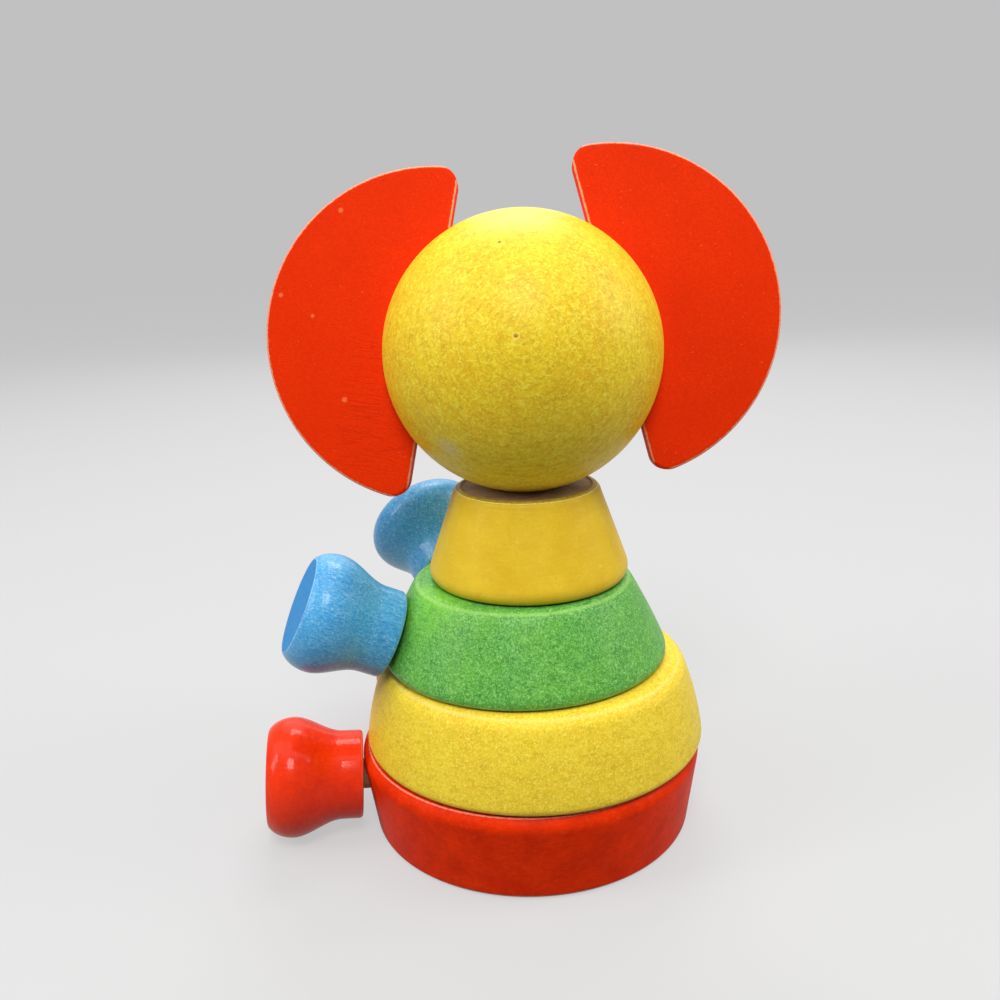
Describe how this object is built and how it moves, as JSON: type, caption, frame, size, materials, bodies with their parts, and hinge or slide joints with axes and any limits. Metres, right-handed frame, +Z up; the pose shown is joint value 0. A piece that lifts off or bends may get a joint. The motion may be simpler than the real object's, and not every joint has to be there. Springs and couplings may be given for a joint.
{
  "type": "wooden stacking puzzle",
  "caption": "Painted wooden stacking toy shaped like a sitting elephant: turned rings, a cone and a ball head on a rod, with flared feet and arms on dowels.",
  "frame": {"origin": "centre of the base disc's underside, on the rod's axis", "axes": "+Z up along the rod, -Y to the front, between the feet; the head is turned on the rod at rest"},
  "size_m": [0.1084, 0.1271, 0.1771],
  "materials": {
    "red_paint": "glossy red paint, worn pale at the edges",
    "ear_paint": "satin orange-red paint, worn pale at the edges",
    "yellow_paint": "satin lemon-gold stain with mottled grain",
    "green_paint": "satin green stain with mottled grain",
    "cone_paint": "smooth golden yellow paint",
    "head_paint": "golden yellow stain, flecked with olive and orange",
    "blue_paint": "translucent sky-blue stain, fine grain",
    "bare_wood": "unpainted turned wood",
    "black_paint": "glossy black paint"
  },
  "bodies": {
    "base": {"base_disc": "red_paint", "centre_rod": "bare_wood"},
    "yellow_ring": {"yellow_ring": "yellow_paint"},
    "green_ring": {"green_ring": "green_paint"},
    "neck_cone": {"neck_cone": "cone_paint"},
    "head": {"head_ball": "head_paint", "left_ear": "ear_paint", "right_ear": "ear_paint", "trunk": "cone_paint", "trunk_dowel": "bare_wood", "left_eye": "black_paint", "right_eye": "black_paint"},
    "left_foot_dowel": {"left_foot_dowel": "bare_wood"},
    "left_foot": {"left_foot": "red_paint"},
    "left_arm_dowel": {"left_arm_dowel": "bare_wood"},
    "left_arm": {"left_arm": "blue_paint"},
    "right_foot_dowel": {"right_foot_dowel": "bare_wood"},
    "right_foot": {"right_foot": "red_paint"},
    "right_arm_dowel": {"right_arm_dowel": "bare_wood"},
    "right_arm": {"right_arm": "blue_paint"}
  },
  "joints": [
    {"name": "yellow_ring_lift", "type": "slide", "parent": "base", "child": "yellow_ring", "axis": [0, 0, 1], "range_m": [0, 0.11]},
    {"name": "green_ring_lift", "type": "slide", "parent": "yellow_ring", "child": "green_ring", "axis": [0, 0, 1], "range_m": [0, 0.086]},
    {"name": "neck_turn", "type": "hinge", "parent": "green_ring", "child": "neck_cone", "pos_m": [0, 0, 0.0687], "axis": [0, 0, 1], "continuous": true},
    {"name": "head_lift", "type": "slide", "parent": "neck_cone", "child": "head", "axis": [0, 0, 1], "range_m": [0, 0.041]},
    {"name": "left_foot_pull", "type": "slide", "parent": "base", "child": "left_foot_dowel", "axis": [0.5491, -0.8327, 0.0715], "range_m": [0, 0.023]},
    {"name": "left_foot_turn", "type": "hinge", "parent": "left_foot_dowel", "child": "left_foot", "pos_m": [0.02492, -0.03779, 0.0147], "axis": [0.5491, -0.8327, 0.0715], "continuous": true},
    {"name": "left_arm_pull", "type": "slide", "parent": "green_ring", "child": "left_arm_dowel", "axis": [0.5407, -0.7227, 0.4305], "range_m": [0, 0.01]},
    {"name": "left_arm_turn", "type": "hinge", "parent": "left_arm_dowel", "child": "left_arm", "pos_m": [0.02142, -0.02889, 0.0554], "axis": [0.5407, -0.7227, 0.4305], "continuous": true},
    {"name": "right_foot_pull", "type": "slide", "parent": "base", "child": "right_foot_dowel", "axis": [-0.5491, -0.8327, 0.0715], "range_m": [0, 0.023]},
    {"name": "right_foot_turn", "type": "hinge", "parent": "right_foot_dowel", "child": "right_foot", "pos_m": [-0.02492, -0.03779, 0.0147], "axis": [-0.5491, -0.8327, 0.0715], "continuous": true},
    {"name": "right_arm_pull", "type": "slide", "parent": "green_ring", "child": "right_arm_dowel", "axis": [-0.4592, -0.7018, 0.5446], "range_m": [0, 0.01]},
    {"name": "right_arm_turn", "type": "hinge", "parent": "right_arm_dowel", "child": "right_arm", "pos_m": [-0.01865, -0.02958, 0.0569], "axis": [-0.4592, -0.7018, 0.5446], "continuous": true}
  ]
}
